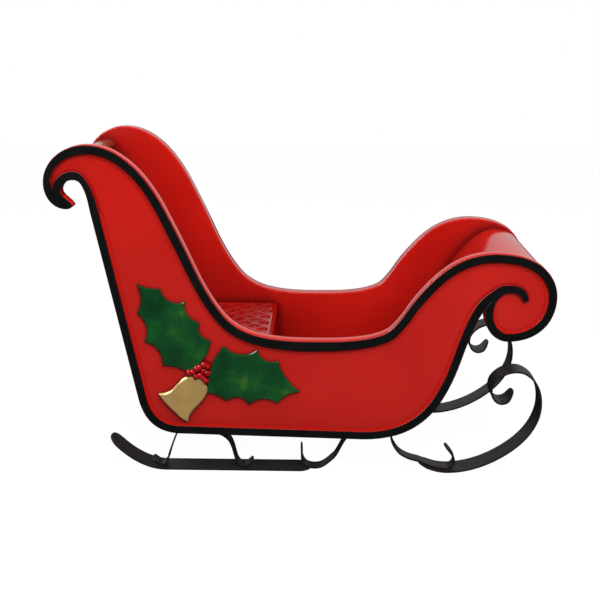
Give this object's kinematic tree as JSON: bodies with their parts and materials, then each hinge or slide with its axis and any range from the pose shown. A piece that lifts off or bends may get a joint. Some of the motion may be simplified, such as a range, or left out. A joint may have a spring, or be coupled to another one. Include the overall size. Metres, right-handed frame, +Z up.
{
  "type": "child's christmas sleigh",
  "caption": "Child's sleigh with voluted red sides, black raised trim, a holly and bell ornament, a seat and footwell, and scrolled flat iron runners.",
  "frame": {"origin": "on the floor under the centre of the bounding box", "axes": "+X forward to the front scroll, +Y to the rider's left, +Z up"},
  "size_m": [1.377, 0.603, 0.9263],
  "materials": {
    "red_body": "glossy red lacquer",
    "red_seat": "glossy red with a quilted relief",
    "black_trim": "satin black",
    "holly_green": "glossy dark green",
    "bell_gold": "gold paint",
    "berry_red": "glossy deep red",
    "black_iron": "satin black paint on flat iron"
  },
  "bodies": {
    "root": {"back_panel": "red_body", "bell_left": "bell_gold", "bell_right": "bell_gold", "berries_left": "berry_red", "berries_right": "berry_red", "dash_panel": "red_body", "floor_panel": "red_body", "front_hanger_left": "black_iron", "front_hanger_right": "black_iron", "front_strut_left": "black_iron", "front_strut_right": "black_iron", "front_sweep_left": "black_iron", "front_sweep_right": "black_iron", "holly_leaf_lower_left": "holly_green", "holly_leaf_lower_right": "holly_green", "holly_leaf_upper_left": "holly_green", "holly_leaf_upper_right": "holly_green", "lower_trim_left": "black_trim", "lower_trim_right": "black_trim", "middle_strut_left": "black_iron", "middle_strut_right": "black_iron", "rear_strut_left": "black_iron", "rear_strut_right": "black_iron", "runner_bar_left": "black_iron", "runner_bar_right": "black_iron", "seat_riser": "red_body", "seat_top": "red_seat", "side_panel_left": "red_body", "side_panel_right": "red_body", "upper_trim_left": "black_trim", "upper_trim_right": "black_trim"}
  },
  "joints": []
}
